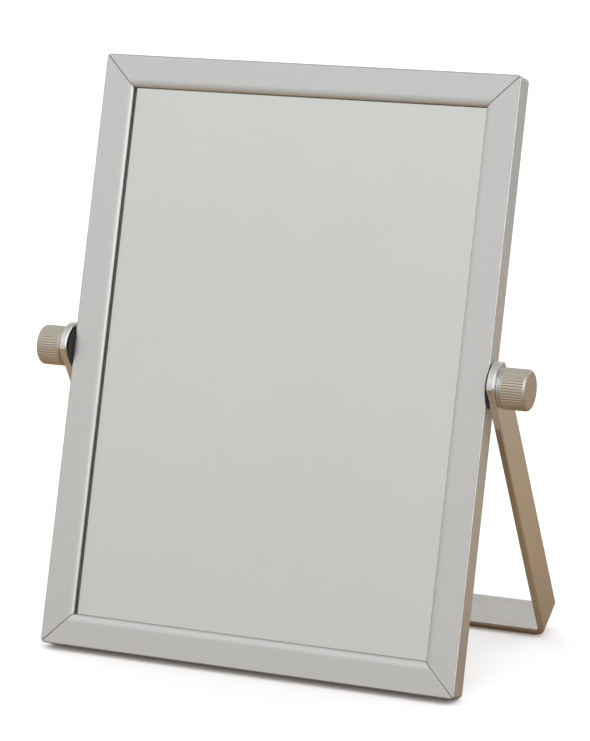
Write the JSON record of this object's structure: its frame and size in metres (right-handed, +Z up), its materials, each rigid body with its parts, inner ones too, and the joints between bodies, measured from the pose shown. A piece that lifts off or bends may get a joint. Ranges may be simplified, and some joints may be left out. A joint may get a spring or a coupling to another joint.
{
  "type": "countertop mirror",
  "caption": "Rectangular mirror in a mitred aluminium frame, held between the legs of a bent steel stand by knurled thumb screws.",
  "frame": {"origin": "on the table, under the middle of the whole mirror", "axes": "+Z up, +X across the mirror to the viewer's right, and the mirror faces -Y, leaning back"},
  "size_m": [0.2594, 0.1358, 0.2885],
  "materials": {
    "anodised_aluminium": "satin anodised extrusion with fine lengthwise grain",
    "zinc_die_casting": "dull cast zinc",
    "zinc_plated_screw": "bright zinc plate",
    "clear_glass": "clear float glass, faintly green, polished",
    "silvering": "silver mirror coating under protective paint",
    "hardboard": "smooth brown hardboard",
    "spring_steel": "oiled blue-grey spring steel",
    "zinc_plated_block": "zinc plate",
    "black_rubber": "matt black rubber",
    "zinc_plated_washer": "bright zinc plate with stamped edge",
    "zinc_plated_stud": "zinc-plated rolled thread",
    "satin_nickel": "warm satin nickel plate, straight knurled",
    "brushed_steel_bar": "flat bar brushed along its length"
  },
  "bodies": {
    "frame": {"bottom_rail": "anodised_aluminium", "left_rail": "anodised_aluminium", "top_rail": "anodised_aluminium", "right_rail": "anodised_aluminium", "corner_key_bottom_left": "zinc_die_casting", "corner_screw_bottom_left_1": "zinc_plated_screw", "corner_screw_bottom_left_2": "zinc_plated_screw", "corner_key_top_left": "zinc_die_casting", "corner_screw_top_left_1": "zinc_plated_screw", "corner_screw_top_left_2": "zinc_plated_screw", "corner_key_top_right": "zinc_die_casting", "corner_screw_top_right_1": "zinc_plated_screw", "corner_screw_top_right_2": "zinc_plated_screw", "corner_key_bottom_right": "zinc_die_casting", "corner_screw_bottom_right_1": "zinc_plated_screw", "corner_screw_bottom_right_2": "zinc_plated_screw", "mirror_glass": "clear_glass", "mirror_silvering": "silvering", "backing_board": "hardboard", "leaf_spring_bottom": "spring_steel", "leaf_spring_left_upper": "spring_steel", "leaf_spring_left_lower": "spring_steel", "leaf_spring_top": "spring_steel", "leaf_spring_right_upper": "spring_steel", "leaf_spring_right_lower": "spring_steel", "nut_block_left": "zinc_plated_block", "rubber_washer_left": "black_rubber", "nut_block_right": "zinc_plated_block", "rubber_washer_right": "black_rubber"},
    "stand": {"stand_bracket": "brushed_steel_bar"},
    "left_stud": {"flat_washer_left": "zinc_plated_washer", "threaded_stud_left": "zinc_plated_stud"},
    "left_knob": {"knob_head_left": "satin_nickel"},
    "right_stud": {"flat_washer_right": "zinc_plated_washer", "threaded_stud_right": "zinc_plated_stud"},
    "right_knob": {"knob_head_right": "satin_nickel"}
  },
  "joints": [
    {"name": "stand_tilt", "type": "hinge", "parent": "frame", "child": "stand", "pos_m": [0, -0.02116, 0.14434], "axis": [1, 0, 0], "continuous": true},
    {"name": "left_stud_travel", "type": "slide", "parent": "frame", "child": "left_stud", "axis": [-1, 0, 0], "range_m": [0, 0.004]},
    {"name": "left_knob_turn", "type": "hinge", "parent": "left_stud", "child": "left_knob", "pos_m": [-0.1165, -0.02116, 0.14434], "axis": [-1, 0, 0], "range_deg": [0, 1440]},
    {"name": "right_stud_travel", "type": "slide", "parent": "frame", "child": "right_stud", "axis": [1, 0, 0], "range_m": [0, 0.004]},
    {"name": "right_knob_turn", "type": "hinge", "parent": "right_stud", "child": "right_knob", "pos_m": [0.1165, -0.02116, 0.14434], "axis": [1, 0, 0], "range_deg": [0, 1440]}
  ],
  "couplings": [
    {"joint": "left_knob_turn", "follows": "left_stud_travel", "rad_per_m": 6283.2},
    {"joint": "right_knob_turn", "follows": "right_stud_travel", "rad_per_m": 6283.2}
  ]
}
